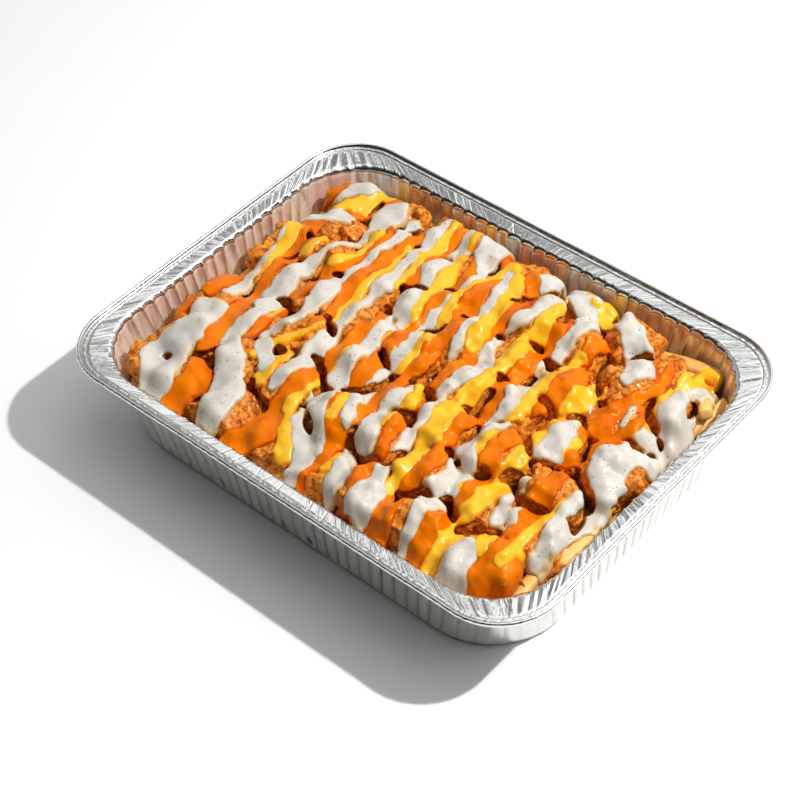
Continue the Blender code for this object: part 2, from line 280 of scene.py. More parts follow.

# %% [markdown]
# ## Smudges
# A few small smudges of dirt show on the near wall. Each is a place, a size and a tint, all laid on
# the bare foil, so the painted reflection on the inner side covers them. Noise added to the
# distance frays the outline. Distances across the wall and up it count less, so the flutes don't
# cut a smudge short and it is taller than wide.

# %% Smudges
SMUDGES = [((-51.9, -105.5, 10.2), 3.6, (0.16, 0.04, 0.2)),
           ((-6.7, -105.1, 7.3), 3.6, (0.6, 0.16, 0.2)),
           ((12.7, -105.4, 9.3), 3.6, (0.09, 0.03, 0.2)),
           ((-14.5, -105.0, 6.3), 2.0, (0.08, 0.08, 0.07))]
WEIGHTS = (1.0, 0.3, 0.65)
SOLID_SHARE = 0.5

tree = wall_foil.node_tree
shader = tree.nodes["Principled BSDF"]
place = add_node(tree, "ShaderNodeTexCoord").outputs
weighed = vector_calc(tree, "MULTIPLY", place["Object"], WEIGHTS)
fray = use_group(tree, grain, Size=700, Depth=1.4 * MM)
foil = shader.inputs["Base Color"].links[0].from_socket
for spot, radius, tint in SMUDGES:
    centre = [along * weight * MM for along, weight in zip(spot, WEIGHTS)]
    away = calc(tree, "ADD", vector_calc(tree, "DISTANCE", weighed, centre), fray)
    mask = mapped(tree, away, radius * MM, SOLID_SHARE * radius * MM)
    foil = mixed(tree, mask, foil, tint, "MULTIPLY")
print("smudges on the near wall:", len(SMUDGES))

# %% [markdown]
# ## Painted reflection and groove shade
# On the inside of the pan the foil is painted beige and streaked from top to bottom, as a painted
# reflection of the food and of bright sky, and it is less metallic there. The inside is found where
# the surface faces the middle. The narrow grooves between the flutes get painted shade, darker
# because light hardly leaves them. The pan carries that painted shade as an attribute.

# %% Painted reflection and groove shade
INNER_SHARE = 0.45
facing = vector_calc(tree, "DOT_PRODUCT", place["Object"], place["Normal"])
inside = mapped(tree, facing, -0.02, -0.06)
upright = add_node(tree, "ShaderNodeMapping", {"Vector": place["Object"], "Scale": (1.0, 1.0, 0.1)})
streaks = noise_at(tree, upright.outputs["Vector"], 260.0, 3.0)
# painted reflection: a beige colour with upright streaks stands in for the blurred reflection of
# the food and the sky in the inner wall
painted_reflection = ramp(tree, streaks, [(0.3, (0.6, 0.42, 0.3)), (0.48, (0.88, 0.74, 0.61)),
                              (0.62, (0.96, 0.89, 0.8))])
foil = mixed(tree, inside, foil, painted_reflection)
groove = add_node(tree, "ShaderNodeAttribute", attribute_name="groove").outputs["Fac"]
metal_share = mapped(tree, inside, 0.0, 1.0, 1.0, INNER_SHARE)
# painted shade: the grooves darken the foil's colour, less on the inside
foil = mixed(tree, calc(tree, "MULTIPLY", groove, metal_share), foil, (0.22, 0.22, 0.2), "MULTIPLY")
fill(tree, shader, {"Base Color": foil, "Metallic": metal_share})
print("wall foil:", len(tree.nodes), "nodes")

# %% [markdown]
# ## Going round the tray
# Everything on the tray follows one rounded rectangle. Its track holds, for each column of the
# mesh, the corner or side it belongs to, the way outward, and the distance round in millimetres. A
# whole wall is then one grid of rows and columns, computed at once with numpy.

# %% Track round the tray
RIM_LENGTH, RIM_WIDTH, TRAY_HEIGHT = 324.0, 246.0, 57.0
FLANGE, WALL_TAPER, FOIL = 12.2, 6.5, 0.5
RIM_CORNER, MOUTH_CORNER, FOOT_CORNER = 37.0, 41.0, 46.0
TRACK_INSET, TRACK_CORNER = 8.0, 39.0
CORNERS = ((1, -1), (1, 1), (-1, 1), (-1, -1), (1, -1))


class Track:
    """Columns round the tray: side centre (ax, ay), outward normal (nx, ny), distance s."""

    def __init__(self, columns):
        straight_x = RIM_LENGTH - 2 * TRACK_INSET - 2 * TRACK_CORNER
        straight_y = RIM_WIDTH - 2 * TRACK_INSET - 2 * TRACK_CORNER
        bend = math.pi / 2 * TRACK_CORNER
        self.total = 2 * (straight_x + straight_y) + 4 * bend
        self.s = np.arange(columns) * self.total / columns
        self.ax, self.ay = np.zeros(columns), np.zeros(columns)
        angle = np.zeros(columns)
        self.bent = np.zeros(columns)
        start = 0.0
        for quarter, straight in enumerate((straight_y, straight_x, straight_y, straight_x)):
            facing = quarter * math.pi / 2
            (before_x, before_y), (corner_x, corner_y) = CORNERS[quarter:quarter + 2]
            on_side = (self.s >= start) & (self.s < start + straight)
            share = (self.s - start) / straight
            self.ax = np.where(on_side, before_x + (corner_x - before_x) * share, self.ax)
            self.ay = np.where(on_side, before_y + (corner_y - before_y) * share, self.ay)
            angle = np.where(on_side, facing, angle)
            start += straight
            on_bend = (self.s >= start) & (self.s < start + bend)
            share = (self.s - start) / bend
            self.ax = np.where(on_bend, corner_x, self.ax)
            self.ay = np.where(on_bend, corner_y, self.ay)
            angle = np.where(on_bend, facing + share * math.pi / 2, angle)
            self.bent = np.where(on_bend, np.sin(np.clip(share, 0, 1) * math.pi) ** 0.5, self.bent)
            start += bend
        self.nx, self.ny = np.cos(angle), np.sin(angle)

    def grid(self, inset, height, corner, outward, lift):
        """Points in metres for rows of inset, height and corner, moved outward and up."""
        inset, height, corner = (np.asarray(row, float)[:, None] for row in (inset, height, corner))
        x = self.ax * (RIM_LENGTH / 2 - inset - corner) + (corner + outward) * self.nx
        y = self.ay * (RIM_WIDTH / 2 - inset - corner) + (corner + outward) * self.ny
        z = np.broadcast_to(height, x.shape) + lift
        return np.stack([x, y, z], -1) * MM


print("track:", round(Track(8).total), "mm round")

# %% [markdown]
# ## Folds and noise
# Foil folds in straight facets, so a fold is a place and a height, and what lies between is a
# straight line. Softer relief comes from value noise, which is a table of random numbers read with
# smooth steps. Both close round the tray without a seam.

# %% Folds and noise
NOISE_TABLE = 4096


def marks(draw, total, pitch, spread):
    """Places of folds round the tray, about one pitch apart, each moved a random share of it."""
    count = int(total / pitch)
    return (np.arange(count) + draw.uniform(-spread, spread, count)) * total / count


def up_and_down(draw, depth, least, count):
    """Heights of folds, up and down by turns, between a least share of the depth and all of it."""
    return depth * draw.uniform(least, 1.0, count) * np.where(np.arange(count) % 2, 1, -1)


def folded(s, places, heights, total):
    """Straight facets from fold to fold, closed round the tray."""
    order = np.argsort(places)
    return np.interp(s, places[order], heights[order], period=total)


def smooth_noise(x, y, size, seed, length=0):
    """Soft relief between -1 and 1, with bumps about one size across; x repeats after length."""
    around = round(length / size)
    u, v = x / (length / around if around else size), y / size
    iu, iv = np.floor(u).astype(int), np.floor(v).astype(int)
    fu, fv = u - iu, v - iv
    fu, fv = fu * fu * (3 - 2 * fu), fv * fv * (3 - 2 * fv)
    table = np.random.default_rng(seed).uniform(-1, 1, NOISE_TABLE)

    def at(i, j):
        i = i % around if around else i
        return table[(i * 73 + j * 1237 + 17 * (i ^ j)) % NOISE_TABLE]

    near = at(iu, iv) * (1 - fu) + at(iu + 1, iv) * fu
    far = at(iu, iv + 1) * (1 - fu) + at(iu + 1, iv + 1) * fu
    return near * (1 - fv) + far * fv


def stitch(grid, loop_rows):
    """Faces of a grid of points whose columns close round the tray; rows close too if asked."""
    rows, columns = grid.shape[:2]
    index = np.arange(rows * columns).reshape(rows, columns)
    nxt = np.roll(index, -1, axis=1)
    if loop_rows:
        a, b = index, nxt
        c, d = np.roll(nxt, -1, axis=0), np.roll(index, -1, axis=0)
    else:
        a, b, c, d = index[:-1], nxt[:-1], nxt[1:], index[1:]
    return np.stack([a, b, c, d], -1).reshape(-1, 4).tolist()


def soft_step(value, low, high):
    """Rises smoothly from 0 at low to 1 at high."""
    share = np.clip((value - low) / (high - low), 0, 1)
    return share * share * (3 - 2 * share)


print("noise table:", NOISE_TABLE, "numbers")

# %% [markdown]
# ## Walls and flutes
# The inset of the wall and the radius of its corners change with height. On the sides the wall is
# pressed into upright flutes, round waves with a sharp narrow groove between them. In the corners
# the sheet is gathered into uneven pleats. Dents and fine creases come from handling.

# %% Walls and flutes
FLUTE = 9.0
GROOVE_INSET = 4.6
draw = np.random.default_rng(4)
corner_folds = marks(draw, 1009.0, 4.4, 0.35)
corner_heights = up_and_down(draw, 1.0, 0.3, len(corner_folds))


def wall_inset(height):
    """Inset of the wall at a height, which the taper widens towards the foot."""
    return FLANGE + WALL_TAPER * (1 - height / TRAY_HEIGHT)


def wall_corner(height):
    """Corner radius of the wall at a height."""
    return FOOT_CORNER + (MOUTH_CORNER - FOOT_CORNER) * height / TRAY_HEIGHT


def rim_corner(inset):
    """Corner radius on the rim: even round the bead, then wider towards the mouth."""
    if inset < GROOVE_INSET:
        return RIM_CORNER - inset
    share = (inset - GROOVE_INSET) / (FLANGE - GROOVE_INSET)
    inner = RIM_CORNER - GROOVE_INSET
    return inner + (MOUTH_CORNER - inner) * min(share, 1.0)


def flute_phase(track):
    """Share of the way from one groove to the next, with the groove at a half."""
    wander = 0.16 * smooth_noise(track.s, 0 * track.s, 21, 31, track.total)
    return (track.s * round(track.total / FLUTE) / track.total + wander) % 1


def wall_relief(track, height):
    """How far the wall stands out at each height and place."""
    height = np.asarray(height, float)[:, None]
    s = np.broadcast_to(track.s, (len(height), len(track.s)))
    phase = flute_phase(track)
    flutes = 0.25 + 0.28 * np.cos(2 * np.pi * phase) - 1.1 * np.exp(-((phase - 0.5) / 0.1) ** 2)
    pleats = 0.6 * folded(track.s, corner_folds, corner_heights, track.total)
    shape = flutes * (1 - track.bent) + pleats * track.bent
    fade = soft_step(height, 2, 8) * (1 - soft_step(height, 51, 54.5))
    level, total = height + 0 * s, track.total
    dents = 0.45 * smooth_noise(s, level, 24, 7, total) + 0.12 * smooth_noise(s, level, 8, 8, total)
    creases = 0.16 * smooth_noise(s, level / 14, 2.6, 9, total)
    return (shape + (dents + creases) * soft_step(height, 2, 12)) * fade


print("corner pleats:", len(corner_folds))

# %% [markdown]
# ## Pleats and creases on the rim
# Gathering a flat sheet into a corner crimps the shoulder of the rim into slanting pleats. Each
# pleat here is a straight facet between two folds whose ends are shifted in opposite ways, so that
# neighbours lean towards and away from each other as on the real rim.

# %% Pleats and creases on the rim
track = Track(2400)


def shoulder_pleats(across, pitch, depth):
    """Height of the pleats: rows run from the groove (0) to the mouth (1)."""
    places = marks(draw, track.total, pitch, 0.28)
    lean = draw.uniform(-0.3, 0.3, len(places)) * pitch
    heights = up_and_down(draw, depth, 0.45, len(places))
    return np.array([folded(track.s, (places + lean * (1 - 2 * share)) % track.total, heights,
                            track.total) for share in across])


def sharp_creases(across, count, depth):
    """Narrow folds at random places and with random slants, as depths below the shoulder."""
    places = draw.uniform(0, track.total, count)
    grouped = smooth_noise(places, 0 * places, 16, 24, track.total) > -0.15
    places = places[grouped]
    lean, wide = draw.normal(0, 1.1, len(places)), draw.uniform(0.45, 1.0, len(places))
    deep = depth * draw.uniform(0.3, 1.0, len(places))
    rows = []
    for share in across:
        apart = track.s[:, None] - places - lean * (1 - 2 * share)
        apart = np.abs((apart + track.total / 2) % track.total - track.total / 2)
        rows.append(-(deep * np.clip(1 - apart / wide, 0, 1)).max(1))
    return np.array(rows)


print("columns round the rim:", len(track.s))

# %% [markdown]
# ## The rim
# The rim of a pressed tray has three parts: an edge rolled into a bead, a groove, and a shoulder
# that slopes to the mouth. Its profile is a closed row of points, each an inset from the outer edge
# and a height, and the pleats and a fine crumple are added on the way round.

# %% Rim
LIP_DEPTH = 5.5
SHOULDER_OUT, SHOULDER_IN = 5.5, 11.2
BEAD_WIDE, BEAD_TALL = 1.15, 1.5
SKIN = 0.15
lip = [(wall_inset(z) + FOIL + SKIN, z) for z in (TRAY_HEIGHT - LIP_DEPTH, 52.0, 52.4)]
mouth = [(12.9, 53.2), (12.4, 53.9), (11.8, 54.4)]
shoulder = [(at, 54.6 + 0.7 * (SHOULDER_IN - at) / (SHOULDER_IN - SHOULDER_OUT))
            for at in np.linspace(SHOULDER_IN, SHOULDER_OUT, 9)]
seam = [(5.2, 54.95), (5.0, 55.0), (4.95, 55.5), (4.75, 55.6), (4.2, 55.6), (3.6, 55.6),
        (3.2, 55.6), (3.05, 55.5), (3.0, 55.15), (2.6, 55.1)]
turn = np.radians(np.linspace(160, -120, 11))
bead = [(BEAD_WIDE - BEAD_WIDE * math.cos(a), TRAY_HEIGHT - BEAD_TALL + BEAD_TALL * math.sin(a))
        for a in turn]
under = [(2.6, 53.9), (8.0, 53.4), (12.0, 52.6)]
skirt = [(wall_inset(z) - SKIN, z) for z in (51.9, TRAY_HEIGHT - LIP_DEPTH)]
inset, height = np.array(lip + mouth + shoulder + seam + bead + under + skirt).T
corner = np.array([rim_corner(value) for value in inset])

share = np.clip((inset - SHOULDER_OUT) / (SHOULDER_IN - SHOULDER_OUT), 0, 1)
window = soft_step(inset, 5.2, 5.8) * (1 - 0.6 * soft_step(inset, 11.4, 13.2)) * (height > 53)
groups = soft_step(smooth_noise(track.s, 0 * track.s, 15, 25, track.total), 0, 0.5)
strong = 0.12 + 0.45 * groups + 0.6 * track.bent + 0.45 * soft_step(track.nx, 0.5, 0.9)
pleats = strong * shoulder_pleats(share, 3.0, 0.3)
pleats += 0.6 * track.bent * shoulder_pleats(share, 4.6, 0.4)
creased = np.minimum(sharp_creases(share, 420, 0.4), 0) + shoulder_pleats(share, 1.5, 0.03)
across = np.cumsum(np.hypot(np.diff(inset, prepend=inset[0]), np.diff(height, prepend=height[0])))
across = across[:, None] + 0 * track.s
around = 0 * across + track.s
crumple = smooth_noise(around, across, 1.8, 21, track.total)
crumple += 0.6 * smooth_noise(around, across, 0.95, 22, track.total)
crumple *= (inset < 5.3)[:, None]
lift = (pleats + creased) * window[:, None]
lift += 0.13 * crumple * (height[:, None] < TRAY_HEIGHT - 0.3)
wave = 0.35 * smooth_noise(track.s, 0 * track.s, 38, 23, track.total)
outward = wall_relief(track, np.minimum(height, 53)) * (inset > 12)[:, None]
outward += 0.1 * crumple - 0.12 + 0.5 * wave * (inset < 12)[:, None] - 0.2 * (inset < 4.5)[:, None]
rim_grid = track.grid(inset, height, corner, outward, lift - 0.2)
rim = new_object("tray_rim", rim_grid.reshape(-1, 3).tolist(), stitch(rim_grid, True))
finish_piece(rim, rim_foil, ["tray"])
print("rim:", len(rim.data.polygons) * 2, "triangles")

# %% [markdown]
# ## The pan below the rim
# The walls are pressed into upright flutes that stiffen them, and the corners gather into uneven
# pleats. Both skins of the foil are made, from the floor's edge up the outside, over the top and
# down the inside, so that the pan is a closed thin sheet.

# %% Pan
FOOT = [(22.7, 0.0), (21.0, 0.3), (19.6, 1.3), (18.7, 3.0)]
pan_track = Track(1800)
outer = FOOT + [(wall_inset(z), z) for z in np.linspace(5, 52.2, 15)]
inner = [(value + FOIL, max(z, FOIL)) for value, z in outer[::-1]]
inset, height = np.array(outer + inner).T
corner = np.where(height > 4, wall_corner(height), FOOT_CORNER + 18.3 - inset)
outward = wall_relief(pan_track, height)
pan_grid = pan_track.grid(inset, height, corner, outward, np.zeros_like(outward))
faces = stitch(pan_grid, False)
columns = pan_grid.shape[1]
faces.append(list(range(columns))[::-1])
faces.append([len(pan_grid) * columns - columns + step for step in range(columns)])
pan = new_object("tray_pan", pan_grid.reshape(-1, 3).tolist(), faces)
# painted shade in the grooves between flutes: uneven, weaker in the corners, fading at the foot and
# the top
shade = np.exp(-((flute_phase(pan_track) - 0.5) / 0.11) ** 2) * (1 - 0.8 * pan_track.bent)
patchy = 0.75 + 0.35 * smooth_noise(pan_track.s, 0 * pan_track.s, 13, 32, pan_track.total)
shade = 0.75 * shade * patchy
shade = np.clip(shade * (soft_step(height, 1, 5) * (1 - soft_step(height, 49, 53)))[:, None], 0, 1)
add_attribute(pan, "groove", shade)
finish_piece(pan, wall_foil, ["tray"])
print("pan:", len(pan.data.polygons) * 2, "triangles")

# %% [markdown]
# ## Shapes from Geometry Nodes
# A crust, a scatter of pepper or a spray of crumbs is the same small rule applied over a whole
# surface, which is what Geometry Nodes do. A tree is built in the script with named inputs, put on
# the piece as a modifier, and its result is kept as a plain mesh.

# %% Geometry Nodes helpers
def start_shape(name, inputs):
    """A geometry tree: inputs are (name, socket type, default)."""
    tree = bpy.data.node_groups.new(name, "GeometryNodeTree")
    tree.interface.new_socket("Geometry", in_out="INPUT", socket_type="NodeSocketGeometry")
    for label, kind, default in inputs:
        socket = tree.interface.new_socket(label, in_out="INPUT", socket_type=kind)
        if default is not None:
            socket.default_value = default
    tree.interface.new_socket("Geometry", in_out="OUTPUT", socket_type="NodeSocketGeometry")
    return tree, tree.nodes.new("NodeGroupInput").outputs, tree.nodes.new("NodeGroupOutput")


def end_shape(tree, result, geometry, material):
    """Every tree ends by realizing its instances and setting its material."""
    real = add_node(tree, "GeometryNodeRealizeInstances", {"Geometry": geometry})
    painted = add_node(tree, "GeometryNodeSetMaterial",
                       {"Geometry": real.outputs["Geometry"], "Material": material})
    fill(tree, result, {"Geometry": painted.outputs["Geometry"]})


def shape_with(obj, tree, **values):
    """Runs the modifiers and then the tree on an object, and keeps the result as its plain mesh."""
    modifier = obj.modifiers.new("shape", "NODES")
    modifier.node_group = tree
    for item in tree.interface.items_tree:
        if item.in_out == "INPUT" and item.name.replace(" ", "_") in values:
            modifier[item.identifier] = values[item.name.replace(" ", "_")]
    graph = bpy.context.evaluated_depsgraph_get()
    made = bpy.data.meshes.new_from_object(obj.evaluated_get(graph))
    obj.modifiers.clear()
    obj.data = made
    return obj


print("geometry helpers ready")

# %% [markdown]
# ## Chicken finishes
# The bites are fried in a craggy crust and tossed in hot sauce: glossy orange on the high parts,
# deep brown in the pits. The colour follows noise at two sizes, and the gloss comes from a clear
# coat over a rougher crust.

# %% Chicken finish
chicken, tree, shader = start_material("glazed_chicken")
broad = use_group(tree, blotches, Size=70, Sharpness=0.22)
small = use_group(tree, blotches, Size=330, Sharpness=0.18)
glaze = ramp(tree, broad, [(0.0, (0.55, 0.105, 0.003)), (0.5, (0.74, 0.175, 0.004)),
                           (1.0, (0.83, 0.3, 0.02))])
crust = ramp(tree, small, [(0.0, (0.08, 0.016, 0.003)), (0.3, (0.36, 0.075, 0.006)),
                           (0.62, (0.8, 0.33, 0.05)), (1.0, (0.9, 0.5, 0.14))])
share = calc(tree, "MULTIPLY_ADD", small, -0.45, 0.75)
height = use_group(tree, grain, Size=900, Depth=1)
fill(tree, shader, {
    "Base Color": mixed(tree, share, glaze, crust), "Normal": bumped(tree, height, 0.7, 0.6 * MM),
    "Roughness": mapped(tree, small, 0.0, 1.0, 0.5, 0.28), "Coat Weight": 0.22,
    "Coat Roughness": 0.12, "Specular IOR Level": 0.3, "Specular Tint": (1.0, 0.55, 0.2, 1),
    "Subsurface Weight": 0.12, "Subsurface Radius": (1.0, 0.35, 0.1), "Subsurface Scale": 2 * MM})
print("chicken finish:", len(tree.nodes), "nodes")

# %% [markdown]
# ## Scattered bits
# Knobs of crust, pepper and crumbs are all the same rule: points are scattered on the upward faces
# of a piece with a fixed seed, and a small round grain is put on each, flattened and turned. The
# tree is made once, and each use gives it another density and size.

# %% Scattered bits
scatter, given, result = start_shape("scatter", [
    ("Per square metre", "NodeSocketFloat", 30000), ("Smallest", "NodeSocketFloat", 0.2 * MM),
    ("Largest", "NodeSocketFloat", 0.5 * MM), ("Flatness", "NodeSocketFloat", 0.5),
    ("Roundness", "NodeSocketInt", 1), ("Seed", "NodeSocketInt", 1),
    ("Finish", "NodeSocketMaterial", None)])


def random_value(low, high):
    """A random number for each point, between low and high."""
    return add_node(scatter, "FunctionNodeRandomValue", {2: low, 3: high, "Seed": given["Seed"]},
                    data_type="FLOAT").outputs[1]


facing = add_node(scatter, "GeometryNodeInputNormal").outputs["Normal"]
height = add_node(scatter, "ShaderNodeSeparateXYZ", {"Vector": facing}).outputs["Z"]
upper = add_node(scatter, "FunctionNodeCompare", {0: height, 1: 0.25}, data_type="FLOAT",
                 operation="GREATER_THAN").outputs["Result"]
dots = add_node(scatter, "GeometryNodeDistributePointsOnFaces", {
    "Mesh": given["Geometry"], "Selection": upper, "Density": given["Per square metre"],
    "Seed": given["Seed"]}).outputs
ball = add_node(scatter, "GeometryNodeMeshIcoSphere",
                {"Radius": 1.0, "Subdivisions": given["Roundness"]}).outputs["Mesh"]
size = random_value(given["Smallest"], given["Largest"])
flat = calc(scatter, "MULTIPLY", size, given["Flatness"])
shape = add_node(scatter, "ShaderNodeCombineXYZ", {"X": size, "Y": size, "Z": flat})
spin = add_node(scatter, "FunctionNodeAxisAngleToRotation",
                {"Axis": (0, 0, 1), "Angle": random_value(0.0, 6.28)})
turned = add_node(scatter, "FunctionNodeRotateRotation", {
    "Rotation": dots["Rotation"], "Rotate By": spin.outputs["Rotation"]}, rotation_space="LOCAL")
put = add_node(scatter, "GeometryNodeInstanceOnPoints", {
    "Points": dots["Points"], "Instance": ball, "Rotation": turned.outputs["Rotation"],
    "Scale": shape.outputs["Vector"]})
end_shape(scatter, result, put.outputs["Instances"], given["Finish"])


def joined(objects):
    """The points and faces of several objects as two lists."""
    vertices, polygons = [], []
    for obj in objects:
        first = len(vertices)
        vertices += [tuple(vertex.co) for vertex in obj.data.vertices]
        polygons += [[first + index for index in face.vertices] for face in obj.data.polygons]
    return vertices, polygons


def scattered(name, sources, **values):
    """A new object made of what the scatter tree puts on the sources."""
    return shape_with(new_object(name, *joined(sources)), scatter, **values)


print("scatter tree:", len(scatter.nodes), "nodes")


# %% [markdown]
# ## Chicken bites
# Each packed bite is a coarse closed solid. Fried batter gathers in knobs, so the scatter tree puts
# some on a copy, and a voxel remesh melts copy and knobs into one skin. The crust tree then pushes
# it in and out along its normals: broad lumps of meat and sharp small crags. The noise reads each
# bite's own place, so no two are alike.

# %% Chicken bites
crust_tree, given, result = start_shape("crust", [
    ("Lump depth", "NodeSocketFloat", 2.2 * MM), ("Crag depth", "NodeSocketFloat", 1.5 * MM),
    ("Crumb depth", "NodeSocketFloat", 0.5 * MM), ("Finish", "NodeSocketMaterial", None)])
cells = add_node(crust_tree, "ShaderNodeTexVoronoi", {"Scale": 72.0, "Smoothness": 0.35},
                 feature="SMOOTH_F1").outputs["Distance"]
crags = add_node(crust_tree, "ShaderNodeTexNoise", {"Scale": 300.0, "Detail": 2.0}).outputs["Fac"]
crumbs = add_node(crust_tree, "ShaderNodeTexNoise", {"Scale": 950.0, "Detail": 1.0}).outputs["Fac"]
push = 0.0
for label, height, middle, strength in (("Lump depth", cells, 0.42, -3.0),
                                        ("Crag depth", crags, 0.55, 2.0),
                                        ("Crumb depth", crumbs, 0.5, 2.0)):
    share = calc(crust_tree, "MULTIPLY", calc(crust_tree, "SUBTRACT", height, middle), strength)
    push = calc(crust_tree, "ADD", push, calc(crust_tree, "MULTIPLY", share, given[label]))
facing = add_node(crust_tree, "GeometryNodeInputNormal").outputs["Normal"]
offset = add_node(crust_tree, "ShaderNodeVectorMath", {0: facing, "Scale": push}, operation="SCALE")
moved = add_node(crust_tree, "GeometryNodeSetPosition",
                 {"Geometry": given["Geometry"], "Offset": offset.outputs["Vector"]})
end_shape(crust_tree, result, moved.outputs["Geometry"], given["Finish"])


def merged_copy(node, name):
    """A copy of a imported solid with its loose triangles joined."""
    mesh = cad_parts[node].data.copy()
    mesh.name = name
    work = bmesh.new()
    work.from_mesh(mesh)
    bmesh.ops.remove_doubles(work, verts=work.verts, dist=0.01 * MM)
    work.to_mesh(mesh)
    work.free()
    made = bpy.data.objects.new(name, mesh)
    bpy.context.scene.collection.objects.link(made)
    return made


HIGHEST = 64.0
bites = []
for number, node in enumerate(BITES):
    plain = merged_copy(node, "plain")
    knobs = scattered("knobs", [plain], Finish=chicken, Per_square_metre=5600.0, Smallest=1.8 * MM,
                      Largest=4.2 * MM, Flatness=0.8, Roundness=2, Seed=number)
    bite = new_object(node.replace("bite", "chicken"), *joined([plain, knobs]))
    bpy.data.objects.remove(plain)
    bpy.data.objects.remove(knobs)
    remesh = bite.modifiers.new("fine", "REMESH")
    remesh.mode = "VOXEL"
    remesh.voxel_size = 1.0 * MM
    remesh.use_smooth_shade = True
    soften = bite.modifiers.new("soften", "SMOOTH")
    soften.factor = 0.5
    soften.iterations = 4
    shape_with(bite, crust_tree, Finish=chicken)
    for vertex in bite.data.vertices:
        over = vertex.co.z / MM - HIGHEST
        if over > 0:
            vertex.co.z = (HIGHEST + over / (1 + over / 2)) * MM
    bite.data.polygons.foreach_set("use_smooth", [True] * len(bite.data.polygons))
    finish_piece(bite, chicken, [node])
    bites.append(bite)
print("bites:", sum(len(bite.data.polygons) for bite in bites) * 2, "triangles")

# %% [markdown]
# ## Fry finish
# The bed below is straight-cut fries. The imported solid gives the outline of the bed: a plain core
# fills what can't be seen, and real fries lie on it and in the gap by the wall. Each is a rounded
# square stick, bent and a little uneven, pale gold with browner edges and tips.

# %% Fry finish
potato, tree, shader = start_material("fried_potato")
broad = use_group(tree, blotches, Size=55, Sharpness=0.3)
small = use_group(tree, blotches, Size=420, Sharpness=0.25)
gold = ramp(tree, broad, [(0.0, (0.62, 0.27, 0.05)), (0.5, (0.83, 0.47, 0.12)),
                          (1.0, (0.9, 0.62, 0.22))])
tips = ramp(tree, small, [(0.0, (0.45, 0.22, 0.06)), (0.6, (1, 1, 1))])
height = use_group(tree, grain, Size=700, Depth=1)
fill(tree, shader, {
    "Base Color": mixed(tree, 0.25, gold, tips, "MULTIPLY"),
    "Normal": bumped(tree, height, 0.5, 0.5 * MM),
    "Roughness": mapped(tree, small, 0.0, 1.0, 0.55, 0.36), "Subsurface Weight": 0.2,
    "Subsurface Radius": (1.0, 0.6, 0.25), "Subsurface Scale": 2 * MM})
print("fry finish:", len(tree.nodes), "nodes")

# %% [markdown]
# ## Fries
# A fry is a row of rings with a rounded square outline, swept along a slightly bent line. The ends
# are a little smaller, which rounds the tips. Most fries are laid at random at the level of the bed
# and drawn in until they clear the wall. A few are placed one by one where the photograph shows
# them at the edge.

# %% Fries
FRY_THICK = 7.5
SECTION = 12
ALONG = np.array([-0.5, -0.49, -0.44, -0.25, 0, 0.25, 0.44, 0.49, 0.5])
SWELL = np.array([0.5, 0.86, 1, 1, 1, 1, 1, 0.86, 0.5])[:, None]
RINGS = len(ALONG)


def fry_points(draw, middle, heading, rise, length):
    """Rings of one fry and its two tips, in millimetres."""
    along = ALONG * length
    turn = (np.arange(SECTION) + 0.5) * 2 * math.pi / SECTION
    reach = 0.5 / (np.abs(np.cos(turn)) ** 5 + np.abs(np.sin(turn)) ** 5) ** 0.2
    thick = draw.uniform(0.85, 1.1) * FRY_THICK
    wide = thick * draw.uniform(0.9, 1.15)
    y = SWELL * wide * reach * np.cos(turn) + draw.normal(0, 0.12, (RINGS, SECTION))
    z = SWELL * thick * reach * np.sin(turn) + draw.normal(0, 0.12, (RINGS, SECTION))
    bend, sag = draw.uniform(-3.5, 3.5), draw.uniform(-1.0, 1.0)
    curve = (1 - (2 * along / length) ** 2)[:, None]
    y, z = y + bend * curve, z + sag * curve
    x = along[:, None] + 0 * y
    tip = np.array([[along[0], 0, 0], [along[-1], 0, 0]])
    local = np.concatenate([np.stack([x, y, z], -1).reshape(-1, 3), tip])
    roll = draw.uniform(-0.5, 0.5)
    spin = np.array(Matrix.Rotation(heading, 3, "Z") @ Matrix.Rotation(-rise, 3, "Y")
                    @ Matrix.Rotation(roll, 3, "X"))
    return local @ spin.T + middle


def fry_faces(first):
    """Faces of one fry whose points start at a number: four-sided ones along it and its tips."""
    faces = []
    tips = (first + RINGS * SECTION, first + RINGS * SECTION + 1)
    last = first + (RINGS - 1) * SECTION
    for step in range(SECTION):
        after = (step + 1) % SECTION
        for ring in range(first, last, SECTION):
            faces.append([ring + step, ring + step + SECTION, ring + after + SECTION, ring + after])
        faces.append([tips[0], first + step, first + after])
        faces.append([tips[1], last + after, last + step])
    return faces


def room_inside(x, y, height):
    """How far a place lies inside the foil at this height, in millimetres."""
    inset, corner = wall_inset(height) + FOIL + 0.6, wall_corner(height)
    past_x = np.abs(x) - (RIM_LENGTH / 2 - inset - corner)
    past_y = np.abs(y) - (RIM_WIDTH / 2 - inset - corner)
    beyond = np.hypot(np.maximum(past_x, 0), np.maximum(past_y, 0))
    inside = np.minimum(np.maximum(past_x, past_y), 0)
    return corner - beyond - inside


def lay_fry(x, y, level, heading, rise, length):
    """Adds one fry to the pile."""
    faces.extend(fry_faces(sum(len(batch) for batch in points)))
    points.append(fry_points(draw, (x, y, level), heading, rise, length))


